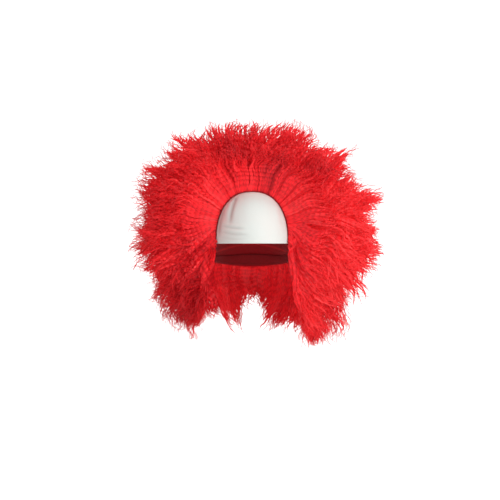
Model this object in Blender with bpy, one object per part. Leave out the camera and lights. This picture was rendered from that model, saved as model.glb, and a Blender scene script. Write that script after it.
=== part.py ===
"""Clown wig: a white bald front panel, a stretch cap behind it with an elastic band in its hem, and crimped hair
sewn to the cap in horseshoe rows of wefts. Metres, +Z up. The wearer looks along -Y, and the origin is the point
inside the crown that rests on the top of the head."""

import math
from collections import namedtuple

import bpy
import bmesh
from mathutils import Vector

# Head that the wig is stretched over
HEAD_WIDTH = 0.152
HEAD_LENGTH = 0.194
CROWN_HEIGHT = 0.105        # crown above the widest level of the head
LOWER_DEPTH = 0.190         # depth of the half ellipsoid that the walls follow below that level
TEMPLE_NARROWING = 0.08     # the head is this share narrower at the front and wider at the back

# Walls and the clearances between layers
PANEL_WALL = 0.0012
CAP_WALL = 0.0015
BAND_WALL = 0.0012
LAYER_GAP = 0.0003
FACET_SAG = 0.0006          # how far a flat facet of a layer cuts in under its own corners

# White front panel: its outline is drawn in a plane that leans back, and carried square to it onto the head
FRONT_LEAN = 20.0           # degrees
PANEL_HALF_WIDTH = 0.0612
PANEL_HEIGHT = 0.0865
ARCH_POWER = 2.35           # 2 is a half ellipse, more is squarer at the shoulders
BROW_DROP = 0.0726          # brow edge below the crown
PANEL_MARGIN = 0.009        # tucked under the cap all along the arch
PANEL_SPOKES_ARCH = 26      # facets along the arch
PANEL_SPOKES_BROW = 10      # facets along the brow edge
PANEL_RINGS = 6
RIDGE_FADE = 0.12           # ridges fade out over this share of the way in from the arch
PANEL_HUB = 0.45            # height of the middle of the panel's facets, as a share of its height

# Soft ridges of the panel, each between two points given as shares of its half width and height. Widths and
# heights of the ridges are shares of the panel's height.
Ridge = namedtuple("Ridge", "across_from up_from across_to up_to width height")
PANEL_RIDGES = (
    Ridge(-0.42, 0.90, -0.60, 0.50, 0.085, 0.020),
    Ridge(-0.86, 0.31, -0.12, 0.22, 0.070, 0.010),
    Ridge(-0.86, 0.15, -0.25, 0.10, 0.060, 0.008),
    Ridge(0.66, 0.78, 0.76, 0.45, 0.090, 0.008),
)

# Stretch cap: its hem runs from one ear tab round the nape to the other
EAR_TAB_AZIMUTH = 80.0      # degrees round from the face
EAR_TAB_ELEVATION = -22.0   # degrees above the head's widest level
NAPE_ELEVATION = -42.0
CAP_COLUMNS = 30            # facets along the arch, an even number
CAP_ROWS = 14
ROW_CROWDING = 0.5          # rows of facets are this share shorter at the arch and at the hem
BAND_WIDTH = 0.014
BAND_INSET = 0.0015
BAND_ROWS = 2

# Hair, as locks that stand in rows of cells over the cap
HAIR_REACH = 0.228          # locks reach about this far from the middle of the head, seen from the front
BACK_REACH = 0.210
FACE_REACH = 0.158
ROOT_MARGIN = 0.004         # bare edge of cap along the arch and along the hem
WEFT_GAP = 0.0009           # between two rows of wefts
FALL_ANGLE = 118.0          # degrees from the crown at which a lock droops by the whole fall
FALL_POWER = 2.0
PARTING_ROWS = 3            # the centre parting runs back through this many rows of locks
PARTING_VALLEY = 0.12       # how deep it starts, as a share of the way out
VALLEY_SPREAD = 0.10
TIP_SPREAD = 0.10
LOCK_LEAN = 0.75            # the most that a tip moves off the middle of its cell, as a share of half the cell
WALL_STEPS = 2

# Droop of the locks by azimuth from the face: degrees that the lowest ones fall between root and tip, and the power
# of the length that the droop grows with. Beside the face they hang at once.
Fall = namedtuple("Fall", "azimuth degrees ease")
HAIR_FALLS = (
    Fall(0, 46.0, 0.75),
    Fall(75, 51.0, 0.75),
    Fall(100, 47.0, 1.15),
    Fall(135, 35.0, 1.45),
    Fall(180, 20.0, 1.50),
)

# Rings of a lock: share of the way to the tip, share of the cell's width
LockRing = namedtuple("LockRing", "way width")
LOCK_RINGS = (LockRing(0.42, 0.66), LockRing(0.78, 0.38))

# Outline of the hair from the front, square to the leaning plane. Angles are in degrees from the wearer's left,
# which is +X, turning over the crown, and reaches are shares of HAIR_REACH.
OutlinePoint = namedtuple("OutlinePoint", "angle share")
HAIR_OUTLINE = (
    OutlinePoint(-90, 0.62),
    OutlinePoint(-70, 0.76),
    OutlinePoint(-60, 0.98),
    OutlinePoint(-50, 1.06),
    OutlinePoint(-43, 1.08),
    OutlinePoint(-31, 0.84),
    OutlinePoint(-20, 0.95),
    OutlinePoint(-2, 1.06),
    OutlinePoint(9, 0.98),
    OutlinePoint(17, 1.14),
    OutlinePoint(23, 1.08),
    OutlinePoint(33, 0.95),
    OutlinePoint(42, 1.08),
    OutlinePoint(53, 0.98),
    OutlinePoint(66, 1.05),
    OutlinePoint(80, 0.97),
    OutlinePoint(89, 0.94),
    OutlinePoint(100, 0.99),
    OutlinePoint(118, 0.98),
    OutlinePoint(126, 1.08),
    OutlinePoint(136, 0.99),
    OutlinePoint(144, 1.05),
    OutlinePoint(155, 1.02),
    OutlinePoint(172, 0.94),
    OutlinePoint(187, 0.97),
    OutlinePoint(202, 0.80),
    OutlinePoint(213, 0.93),
    OutlinePoint(220, 0.92),
    OutlinePoint(228, 0.99),
    OutlinePoint(240, 0.82),
    OutlinePoint(250, 0.66),
    OutlinePoint(270, 0.62),
)

# Rows of locks from the arch to the nape. Tip and valley are how far the locks reach, and how deep the grooves
# between them start, as shares of the way out to the outline.
LockRow = namedtuple("LockRow", "tip valley")
Weft = namedtuple("Weft", "name rows")
WEFTS = (
    Weft("hairline_weft", (LockRow(0.92, 0.64), LockRow(0.98, 0.66))),
    Weft("crown_weft", (LockRow(1.00, 0.66), LockRow(0.98, 0.64))),
    Weft("upper_weft", (LockRow(1.00, 0.60), LockRow(0.97, 0.60))),
    Weft("middle_weft", (LockRow(1.00, 0.58), LockRow(0.98, 0.58), LockRow(1.00, 0.56))),
    Weft("nape_weft", (LockRow(0.97, 0.54), LockRow(1.00, 0.48))),
)

# Colours and finishes
Finish = namedtuple("Finish", "colour roughness")
WHITE_STRETCH = Finish((0.74, 0.73, 0.69, 1.0), 0.55)
RED_KNIT = Finish((0.42, 0.012, 0.018, 1.0), 0.80)
RED_ELASTIC = Finish((0.30, 0.010, 0.014, 1.0), 0.70)
RED_HAIR = Finish((0.62, 0.010, 0.020, 1.0), 0.45)
SHARP_ANGLE = 40.0

# Fineness of the sums, with no say in the shape
CURVE_FINENESS = 40         # points of the arch that its length is added up over, for each even step
ARCH_FINENESS = 4           # directions of the arch kept for each column of the cap
SEARCH_STEPS = 40

CAP_LIFT = PANEL_WALL + LAYER_GAP + FACET_SAG
ROOT_LIFT = CAP_LIFT + CAP_WALL + LAYER_GAP + 2 * FACET_SAG
HEAD_MIDDLE = Vector((0.0, 0.0, -CROWN_HEIGHT - CAP_LIFT))
LEAN = math.radians(FRONT_LEAN)
INWARD = Vector((0.0, math.cos(LEAN), -math.sin(LEAN)))
UPWARD = Vector((0.0, math.sin(LEAN), math.cos(LEAN)))


def head_radius(direction):
    """How far the surface of the head lies from its middle, in one direction."""
    half_width = HEAD_WIDTH / 2 * (1 + TEMPLE_NARROWING * direction.y)
    depth = CROWN_HEIGHT if direction.z >= 0 else LOWER_DEPTH
    scaled = Vector((direction.x / half_width, direction.y / (HEAD_LENGTH / 2), direction.z / depth))
    return 1 / scaled.length


def over_head(direction, height=0.0):
    """The point that lies this height above the surface of the head."""
    return HEAD_MIDDLE + direction * (head_radius(direction) + height)


def compass(azimuth, elevation):
    """Direction at an azimuth from the face, towards +X, and an elevation, both in radians."""
    level = math.cos(elevation)
    return Vector((math.sin(azimuth) * level, -math.cos(azimuth) * level, math.sin(elevation)))


def slide(start, end, share):
    """Direction at a share of the way from one direction to another, along the great circle."""
    angle = start.angle(end)
    return (start * math.sin((1 - share) * angle) + end * math.sin(share * angle)).normalized()


def smooth(share):
    share = min(1.0, max(0.0, share))
    return share * share * (3 - 2 * share)


def scatter(column, row, salt):
    """A number from -1 to 1 that looks random and is the same in each run."""
    return math.sin(column * 12.9898 + row * 78.233 + salt * 37.719) * 43758.5453 % 1.0 * 2 - 1


def arch_points(steps):
    """Evenly spaced points of the arch, across and up, from the right brow corner over the top to the left one."""
    fine = steps * CURVE_FINENESS
    power = 2 / ARCH_POWER
    curve = []
    for index in range(fine + 1):
        angle = math.pi * (1 - index / fine)
        across = math.copysign(abs(math.cos(angle)) ** power, math.cos(angle)) * PANEL_HALF_WIDTH
        curve.append(Vector((across, abs(math.sin(angle)) ** power * PANEL_HEIGHT)))
    lengths = [0.0]
    for before, after in zip(curve, curve[1:]):
        lengths.append(lengths[-1] + (after - before).length)
    points = []
    index = 0
    for step in range(steps + 1):
        wanted = lengths[-1] * step / steps
        while index < fine - 1 and lengths[index + 1] < wanted:
            index += 1
        share = (wanted - lengths[index]) / (lengths[index + 1] - lengths[index])
        points.append(curve[index].lerp(curve[index + 1], share))
    return points


def panel_direction(across, up):
    """Direction of a point of the leaning front plane once it is carried back, square to the plane, to the head."""
    level = (CROWN_HEIGHT - BROW_DROP) / CROWN_HEIGHT
    brow = HEAD_MIDDLE + Vector((across, -HEAD_LENGTH / 2 * math.sqrt(1 - level * level), CROWN_HEIGHT - BROW_DROP))
    start = brow + UPWARD * up - INWARD * HEAD_LENGTH / 2
    near, far = 0.0, HEAD_LENGTH
    for _ in range(SEARCH_STEPS):
        middle = (near + far) / 2
        ray = start + INWARD * middle - HEAD_MIDDLE
        if ray.length > head_radius(ray.normalized()):
            near = middle
        else:
            far = middle
    return (start + INWARD * far - HEAD_MIDDLE).normalized()


FINE_STEPS = CAP_COLUMNS * ARCH_FINENESS
ARCH_DIRECTIONS = [panel_direction(point.x, point.y) for point in arch_points(FINE_STEPS)]


def arch_direction(along):
    """Direction of the arch, from the right brow corner at 0 over the top to the left one at 1."""
    place = min(1.0, max(0.0, along)) * FINE_STEPS
    index = min(FINE_STEPS - 1, int(place))
    return ARCH_DIRECTIONS[index].lerp(ARCH_DIRECTIONS[index + 1], place - index).normalized()


def hem_direction(along):
    """Direction of the hem, from the right ear tab at 0 round the nape to the left one at 1."""
    azimuth = -EAR_TAB_AZIMUTH - (360 - 2 * EAR_TAB_AZIMUTH) * along
    elevation = EAR_TAB_ELEVATION + (NAPE_ELEVATION - EAR_TAB_ELEVATION) * math.sin(math.pi * along)
    return compass(math.radians(azimuth), math.radians(elevation))


def cap_length(along):
    """About how far it is over the head from the arch to the hem."""
    return arch_direction(along).angle(hem_direction(along)) * (HEAD_LENGTH + HEAD_WIDTH) / 4


def cap_direction(along, back):
    """Direction of a point of the cap, at a share of the way back from the arch to the hem."""
    return slide(arch_direction(along), hem_direction(along), back)


def outline_share(angle):
    """Share of HAIR_REACH that the hair reaches at an angle in the front view, in degrees."""
    angle = (angle + 90) % 360 - 90
    for before, after in zip(HAIR_OUTLINE, HAIR_OUTLINE[1:]):
        if angle <= after.angle:
            share = (angle - before.angle) / (after.angle - before.angle)
            return before.share + (after.share - before.share) * share
    return HAIR_OUTLINE[-1].share


def hair_fall(azimuth):
    """Whole fall, in radians, and its ease at an azimuth in radians."""
    turn = abs(math.degrees(azimuth))
    for before, after in zip(HAIR_FALLS, HAIR_FALLS[1:]):
        if turn <= after.azimuth:
            break
    share = smooth((turn - before.azimuth) / (after.azimuth - before.azimuth))
    degrees = before.degrees + (after.degrees - before.degrees) * share
    return math.radians(degrees), before.ease + (after.ease - before.ease) * share


def hair_reach(direction):
    """How far the tips lie from the middle of the head, in one direction."""
    across, up, back = direction.x, direction.dot(UPWARD), direction.dot(INWARD)
    front_view = math.hypot(across, up) / (HAIR_REACH * outline_share(math.degrees(math.atan2(up, across))))
    return 1 / math.hypot(front_view, back / (BACK_REACH if back > 0 else FACE_REACH))


def hair_point(along, back, way):
    """A point inside the hair, this share of the way from its root on the cap out to the outline."""
    root = cap_direction(along, back)
    azimuth = math.atan2(root.x, -root.y)
    from_crown = math.acos(root.z)
    fall, ease = hair_fall(azimuth)
    fall *= (from_crown / math.radians(FALL_ANGLE)) ** FALL_POWER
    tip = compass(azimuth, math.pi / 2 - from_crown - fall)
    here = compass(azimuth, math.pi / 2 - from_crown - fall * way ** ease)
    start = head_radius(root) + ROOT_LIFT
    return HEAD_MIDDLE + here * (start + (hair_reach(tip) - start) * way)


class Skin:
    """Points and triangles of one closed piece."""

    def __init__(self):
        self.grid = bmesh.new()

    def point(self, place):
        return self.grid.verts.new(place)

    def triangle(self, first, second, third):
        if len({first, second, third}) == 3:
            self.grid.faces.new((first, second, third))

    def quad(self, first, second, third, fourth):
        self.triangle(first, second, third)
        self.triangle(first, third, fourth)

    def strip(self, lower, upper, closed=False):
        """Joins two rows of points of one length."""
        pairs = list(zip(lower, upper))
        if closed:
            pairs.append(pairs[0])
        for (low, high), (next_low, next_high) in zip(pairs, pairs[1:]):
            self.quad(low, next_low, next_high, high)

    def shell(self, outer, inner):
        """Closes two like grids of points into one wall."""
        for rows in (outer, inner):
            for lower, upper in zip(rows, rows[1:]):
                self.strip(lower, upper)
        self.strip(inner[0], outer[0])
        self.strip(inner[-1], outer[-1])
        self.strip([row[0] for row in inner], [row[0] for row in outer])
        self.strip([row[-1] for row in inner], [row[-1] for row in outer])

    def finish(self, name, finish):
        """Turns the triangles into an object whose faces look outwards."""
        bmesh.ops.recalc_face_normals(self.grid, faces=self.grid.faces)
        mesh = bpy.data.meshes.new(name)
        self.grid.to_mesh(mesh)
        self.grid.free()
        material = bpy.data.materials.new(name)
        material.use_nodes = True
        shader = material.node_tree.nodes["Principled BSDF"]
        shader.inputs["Base Color"].default_value = finish.colour
        shader.inputs["Roughness"].default_value = finish.roughness
        mesh.materials.append(material)
        mesh.shade_smooth()
        mesh.set_sharp_from_angle(angle=math.radians(SHARP_ANGLE))
        made = bpy.data.objects.new(name, mesh)
        bpy.context.scene.collection.objects.link(made)
        return made


def ridge_height(across, up):
    """How far the panel rises off the head at a point, from all its ridges, fading out towards the cap."""
    here = Vector((across, up))
    height = 0.0
    for ridge in PANEL_RIDGES:
        start = Vector((ridge.across_from * PANEL_HALF_WIDTH, ridge.up_from * PANEL_HEIGHT))
        along = Vector((ridge.across_to * PANEL_HALF_WIDTH, ridge.up_to * PANEL_HEIGHT)) - start
        share = min(1.0, max(0.0, (here - start).dot(along) / along.length_squared))
        off = (here - start - along * share).length / (ridge.width * PANEL_HEIGHT / 2)
        height += ridge.height * PANEL_HEIGHT * math.exp(-off * off)
    out = (abs(across / PANEL_HALF_WIDTH) ** ARCH_POWER + (up / PANEL_HEIGHT) ** ARCH_POWER) ** (1 / ARCH_POWER)
    return height * smooth((1 - out) / RIDGE_FADE)


def make_forehead_panel():
    """White stretch front, from the brow edge to a margin tucked under the cap."""
    skin = Skin()
    hub = Vector((0.0, PANEL_HUB * PANEL_HEIGHT))
    arch = arch_points(PANEL_SPOKES_ARCH)
    brow = [arch[-1].lerp(arch[0], step / PANEL_SPOKES_BROW) for step in range(1, PANEL_SPOKES_BROW)]
    walls = []
    for wall in (PANEL_WALL, 0.0):
        rings = []
        for ring in range(1, PANEL_RINGS + 1):
            row = []
            for edge in arch + brow:
                place = hub.lerp(edge, ring / PANEL_RINGS)
                height = ridge_height(place.x, place.y) + wall
                row.append(skin.point(over_head(panel_direction(place.x, place.y), height)))
            rings.append(row)
        margin = []
        for step in range(PANEL_SPOKES_ARCH + 1):
            along = step / PANEL_SPOKES_ARCH
            margin.append(skin.point(over_head(cap_direction(along, PANEL_MARGIN / cap_length(along)), wall)))
        for lower, upper in zip(rings, rings[1:]):
            skin.strip(lower, upper, closed=True)
        skin.strip(rings[-1][:len(margin)], margin)
        middle = skin.point(over_head(panel_direction(hub.x, hub.y), ridge_height(hub.x, hub.y) + wall))
        for first, second in zip(rings[0], rings[0][1:] + rings[0][:1]):
            skin.triangle(middle, first, second)
        walls.append(margin + rings[-1][len(margin) - 1:] + rings[-1][:1])
    skin.strip(walls[0], walls[1], closed=True)
    return skin.finish("forehead_panel", WHITE_STRETCH)


def make_base_cap():
    """Stretch cap that the wefts are sewn to."""
    skin = Skin()
    walls = []
    for wall in (CAP_WALL, 0.0):
        rows = []
        for step in range(CAP_ROWS + 1):
            share = step / CAP_ROWS
            back = share - ROW_CROWDING * math.sin(2 * math.pi * share) / (2 * math.pi)
            row = []
            for column in range(CAP_COLUMNS + 1):
                along = column / CAP_COLUMNS
                row.append(skin.point(over_head(cap_direction(along, back), CAP_LIFT + wall)))
            rows.append(row)
        walls.append(rows)
    skin.shell(*walls)
    return skin.finish("base_cap", RED_KNIT)


def make_edge_elastic():
    """Flat elastic inside the hem, from ear tab to ear tab."""
    skin = Skin()
    walls = []
    for wall in (BAND_WALL, 0.0):
        rows = []
        for step in range(BAND_ROWS + 1):
            row = []
            for column in range(CAP_COLUMNS + 1):
                along = column / CAP_COLUMNS
                inset = BAND_INSET + BAND_WIDTH * step / BAND_ROWS
                row.append(skin.point(over_head(cap_direction(along, 1 - inset / cap_length(along)), wall)))
            rows.append(row)
        walls.append(rows)
    skin.shell(*walls)
    return skin.finish("edge_elastic", RED_ELASTIC)


def row_edges():
    """Shares of the way back at which the rows of locks meet."""
    count = sum(len(weft.rows) for weft in WEFTS)
    return [row / count for row in range(count + 1)]


def valley_way(column, edge, rows):
    """How far out the groove between locks starts, at a corner where up to four of them meet."""
    if edge < PARTING_ROWS and column * 2 == CAP_COLUMNS:
        return PARTING_VALLEY
    near = rows[max(0, edge - 1):edge + 1]
    level = sum(row.valley for row in near) / len(near)
    return level * (1 + VALLEY_SPREAD * scatter(column, edge, 1))


def edge_back(along, edge, edges, shift):
    """Share of the way back of a row's edge, moved by half the gap, with bare cap left at the arch and hem."""
    length = cap_length(along)
    back = edges[edge] + shift * WEFT_GAP / 2 / length
    margin = ROOT_MARGIN / length
    return margin + back * (1 - 2 * margin)


def make_weft(weft, first_row, edges, rows):
    """One weft: its roots lie on the cap, and its locks rise from grooves to bent points."""
    skin = Skin()
    last_edge = first_row + len(weft.rows)
    grid = {}
    for edge in range(first_row, last_edge + 1):
        shift = 1 if edge == first_row else -1 if edge == last_edge else 0
        for column in range(CAP_COLUMNS + 1):
            along = column / CAP_COLUMNS
            back = edge_back(along, edge, edges, shift)
            valley = valley_way(column, edge, rows)
            on_wall = shift != 0 or column in (0, CAP_COLUMNS)
            steps = range(WALL_STEPS + 1) if on_wall else (0, WALL_STEPS)
            for step in steps:
                grid[column, edge, step] = skin.point(hair_point(along, back, valley * step / WALL_STEPS))
            grid[column, edge, "place"] = (along, back, valley)
    for edge in range(first_row, last_edge):
        for column in range(CAP_COLUMNS):
            roots = [grid[column + i, edge + j, 0] for i, j in ((0, 0), (1, 0), (1, 1), (0, 1))]
            skin.quad(*roots)
            add_lock(skin, grid, column, edge, rows[edge])
    for edge in (first_row, last_edge):
        for step in range(WALL_STEPS):
            lower = [grid[column, edge, step] for column in range(CAP_COLUMNS + 1)]
            upper = [grid[column, edge, step + 1] for column in range(CAP_COLUMNS + 1)]
            skin.strip(lower, upper)
    for column in (0, CAP_COLUMNS):
        for step in range(WALL_STEPS):
            lower = [grid[column, edge, step] for edge in range(first_row, last_edge + 1)]
            upper = [grid[column, edge, step + 1] for edge in range(first_row, last_edge + 1)]
            skin.strip(lower, upper)
    return skin.finish(weft.name, RED_HAIR)


def add_lock(skin, grid, column, edge, row):
    """One lock over its cell: two shrinking rings that lean over, and a point."""
    corners = [(column + i, edge + j) for i, j in ((0, 0), (1, 0), (1, 1), (0, 1))]
    places = [grid[corner + ("place",)] for corner in corners]
    middle = [sum(place[axis] for place in places) / 4 for axis in range(3)]
    tip = row.tip * (1 + TIP_SPREAD * (scatter(column, edge, 2) - 1) / 2)
    half_along = (places[1][0] - places[0][0]) / 2
    half_back = (places[3][1] + places[2][1] - places[0][1] - places[1][1]) / 4
    lean_along = LOCK_LEAN * scatter(column, edge, 3) * half_along
    lean_back = LOCK_LEAN * scatter(column, edge, 4) * half_back
    below = [grid[corner + (WALL_STEPS,)] for corner in corners]
    for ring in LOCK_RINGS:
        way = middle[2] + (tip - middle[2]) * ring.way
        above = []
        for place in places:
            along = middle[0] + (place[0] - middle[0]) * ring.width + lean_along * ring.way
            back = middle[1] + (place[1] - middle[1]) * ring.width + lean_back * ring.way
            above.append(skin.point(hair_point(along, back, way)))
        skin.strip(below, above, closed=True)
        below = above
    point = skin.point(hair_point(middle[0] + lean_along, middle[1] + lean_back, tip))
    for first, second in zip(below, below[1:] + below[:1]):
        skin.triangle(point, first, second)


def main():
    for old in list(bpy.data.objects):
        bpy.data.objects.remove(old, do_unlink=True)
    make_forehead_panel()
    make_base_cap()
    make_edge_elastic()
    edges = row_edges()
    rows = [row for weft in WEFTS for row in weft.rows]
    first_row = 0
    for weft in WEFTS:
        make_weft(weft, first_row, edges, rows)
        first_row += len(weft.rows)


main()
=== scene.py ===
import math
import bpy
import numpy as np
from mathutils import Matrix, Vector


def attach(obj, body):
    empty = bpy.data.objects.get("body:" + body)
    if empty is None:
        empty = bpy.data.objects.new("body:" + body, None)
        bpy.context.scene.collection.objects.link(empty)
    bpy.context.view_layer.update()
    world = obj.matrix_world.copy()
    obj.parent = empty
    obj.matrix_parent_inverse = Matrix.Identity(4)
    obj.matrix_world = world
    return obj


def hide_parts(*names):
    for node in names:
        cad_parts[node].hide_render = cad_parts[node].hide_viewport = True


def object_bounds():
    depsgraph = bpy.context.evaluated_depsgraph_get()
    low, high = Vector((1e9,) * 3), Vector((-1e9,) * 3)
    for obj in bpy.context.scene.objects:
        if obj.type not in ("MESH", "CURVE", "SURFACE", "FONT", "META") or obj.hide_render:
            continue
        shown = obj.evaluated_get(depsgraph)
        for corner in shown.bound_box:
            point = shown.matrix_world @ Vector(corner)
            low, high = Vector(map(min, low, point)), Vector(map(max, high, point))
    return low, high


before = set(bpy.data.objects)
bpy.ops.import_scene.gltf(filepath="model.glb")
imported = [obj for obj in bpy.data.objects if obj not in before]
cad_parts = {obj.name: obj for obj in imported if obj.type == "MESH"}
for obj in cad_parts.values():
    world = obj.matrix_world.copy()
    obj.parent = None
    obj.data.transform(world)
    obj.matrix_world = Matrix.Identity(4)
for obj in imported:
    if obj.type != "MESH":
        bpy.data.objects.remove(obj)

cadBox = [list(corner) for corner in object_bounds()]

# Clown wig: white bald front, red stretch cap, crimped red hair in five wefts. Metres, as the solids are.
# The head that it is stretched over, with the walls and gaps that the solids have.
head = {"width": 0.152, "length": 0.194, "crown": 0.105, "lower": 0.190, "templeNarrowing": 0.08}
layers = {"panel": 0.0012, "cap": 0.0015, "band": 0.0012, "gap": 0.0003, "sag": 0.0006}
front = {"lean": 20.0, "halfWidth": 0.0612, "height": 0.0865, "power": 2.35, "browDrop": 0.0726,
         "halvings": 40}
hem = {"earAzimuth": 80.0, "earElevation": -22.0, "napeElevation": -42.0}

capLift = layers["panel"] + layers["gap"] + layers["sag"]
rootLift = capLift + layers["cap"] + layers["gap"] + 2 * layers["sag"]
headMiddle = np.array([0.0, 0.0, -head["crown"] - capLift])
lean = math.radians(front["lean"])
inward = np.array([0.0, math.cos(lean), -math.sin(lean)])   # square to the leaning front
upward = np.array([0.0, math.sin(lean), math.cos(lean)])


def unit(vectors):
    return vectors / np.maximum(np.linalg.norm(vectors, axis=-1, keepdims=True), 1e-12)


def smooth(share):
    share = np.clip(share, 0.0, 1.0)
    return share * share * (3 - 2 * share)


def headRadius(direction):
    halfWidth = head["width"] / 2 * (1 + head["templeNarrowing"] * direction[..., 1])
    depth = np.where(direction[..., 2] >= 0, head["crown"], head["lower"])
    scaled = np.stack([direction[..., 0] / halfWidth, direction[..., 1] / (head["length"] / 2),
                       direction[..., 2] / depth], axis=-1)
    return 1 / np.linalg.norm(scaled, axis=-1)


def overHead(direction, height):
    return headMiddle + direction * (headRadius(direction) + height)[..., None]


def compass(azimuth, elevation):   # azimuth from the face towards +X
    level = np.cos(elevation)
    return np.stack([np.sin(azimuth) * level, -np.cos(azimuth) * level, np.sin(elevation)], axis=-1)


def slide(start, end, share):   # along the great circle, also past its end
    angle = np.arccos(np.clip((start * end).sum(-1), -1, 1))[..., None]
    share = np.asarray(share)[..., None]
    return unit(start * np.sin((1 - share) * angle) + end * np.sin(share * angle))


def panelDirection(across, up):   # a point of the leaning front, carried back square to it
    level = (head["crown"] - front["browDrop"]) / head["crown"]
    forward = head["length"] / 2 * math.sqrt(1 - level * level)
    brow = np.array([0.0, -forward, head["crown"] - front["browDrop"]])
    start = brow + np.multiply.outer(across, [1.0, 0.0, 0.0]) + np.multiply.outer(up, upward)
    start = start - inward * head["length"] / 2
    near = np.zeros(np.shape(across))
    far = np.full(np.shape(across), head["length"])
    for step in range(front["halvings"]):
        middle = (near + far) / 2
        ray = start + inward * middle[..., None]
        outside = np.linalg.norm(ray, axis=-1) > headRadius(unit(ray))
        near = np.where(outside, middle, near)
        far = np.where(outside, far, middle)
    return unit(start + inward * far[..., None])


def archPoint(turn):   # turn 0 is the wearer's right brow corner, 1 the left one
    angle = np.pi * (1 - turn)
    across = np.sign(np.cos(angle)) * np.abs(np.cos(angle)) ** (2 / front["power"]) * front["halfWidth"]
    return across, np.abs(np.sin(angle)) ** (2 / front["power"]) * front["height"]


def archTable(steps):   # even steps along the arch
    across, up = archPoint(np.linspace(0, 1, steps * 20 + 1))
    length = np.concatenate([[0], np.cumsum(np.hypot(np.diff(across), np.diff(up)))])
    even = np.linspace(0, length[-1], steps + 1)
    return panelDirection(np.interp(even, length, across), np.interp(even, length, up))


archLine = archTable(240)
archPlaces = np.linspace(0, 1, len(archLine))


def archDirection(along):
    return unit(np.stack([np.interp(along, archPlaces, archLine[:, axis]) for axis in range(3)], axis=-1))


def hemDirection(along):
    azimuth = np.radians(-hem["earAzimuth"] - (360 - 2 * hem["earAzimuth"]) * along)
    drop = (hem["napeElevation"] - hem["earElevation"]) * np.sin(np.pi * np.clip(along, 0, 1))
    return compass(azimuth, np.radians(hem["earElevation"] + drop))


def capDirection(along, back):
    return slide(archDirection(along), hemDirection(along), back)


def capLength(along):
    angle = np.arccos(np.clip((archDirection(along) * hemDirection(along)).sum(-1), -1, 1))
    return angle * (head["length"] + head["width"]) / 4


# How far the hair reaches and how it droops, as in the solids, with the reach corrected a little for the
# loose ends.
hairReach = {"side": 0.228, "back": 0.210, "face": 0.158}
# Outline from the front: degrees from +X over the crown, share of the side reach.
outline = [(-90, 0.62), (-70, 0.76), (-60, 0.98), (-50, 1.10), (-43, 1.14), (-31, 0.84), (-20, 0.96),
           (-2, 1.06), (9, 0.96), (17, 1.16), (23, 1.08), (33, 0.95), (43, 1.13), (55, 0.96), (71, 1.04),
           (81, 0.97), (89, 0.94), (100, 0.98), (114, 0.97), (123, 1.06), (136, 0.99), (144, 1.06),
           (155, 1.03), (172, 0.94), (187, 0.97), (202, 0.83), (213, 0.96), (220, 0.97), (228, 1.04),
           (240, 0.76), (250, 0.60), (270, 0.60)]
# Droop: degrees of azimuth from the face, degrees of fall, power of the length.
falls = [(0, 46.0, 0.75), (75, 51.0, 0.75), (100, 47.0, 1.15), (135, 35.0, 1.45), (180, 20.0, 1.50)]
fallShape = {"angle": 118.0, "power": 2.0}


def tipReach(direction):
    across = direction[..., 0]
    up = direction @ upward
    back = direction @ inward
    angle = (np.degrees(np.arctan2(up, across)) + 90) % 360 - 90
    share = np.interp(angle, [row[0] for row in outline], [row[1] for row in outline])
    deep = np.where(back > 0, hairReach["back"], hairReach["face"])
    return 1 / np.hypot(np.hypot(across, up) / (hairReach["side"] * share), back / deep)


def hairFall(azimuth):
    turn = np.abs(np.degrees(azimuth))
    table = np.array(falls)
    row = np.clip(np.searchsorted(table[:, 0], turn) - 1, 0, len(table) - 2)
    share = smooth((turn - table[row, 0]) / (table[row + 1, 0] - table[row, 0]))
    return np.radians(table[row, 1] + (table[row + 1, 1] - table[row, 1]) * share), \
        table[row, 2] + (table[row + 1, 2] - table[row, 2]) * share


def hairPoint(along, back, way):   # way 0 is on the cap, 1 on the outline
    root = capDirection(along, back)
    azimuth = np.arctan2(root[..., 0], -root[..., 1])
    fromCrown = np.arccos(np.clip(root[..., 2], -1, 1))
    fall, ease = hairFall(azimuth)
    fall = fall * (fromCrown / math.radians(fallShape["angle"])) ** fallShape["power"]
    tip = compass(azimuth, np.pi / 2 - fromCrown - fall)
    here = compass(azimuth, np.pi / 2 - fromCrown - fall * np.maximum(way, 0) ** ease)
    start = headRadius(root) + rootLift
    return headMiddle + here * (start + (tipReach(tip) - start) * way)[..., None]


def deselectAll():
    bpy.ops.object.select_all(action="DESELECT")


def pickOnly(piece):
    deselectAll()
    piece.select_set(True)
    bpy.context.view_layer.objects.active = piece


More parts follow.
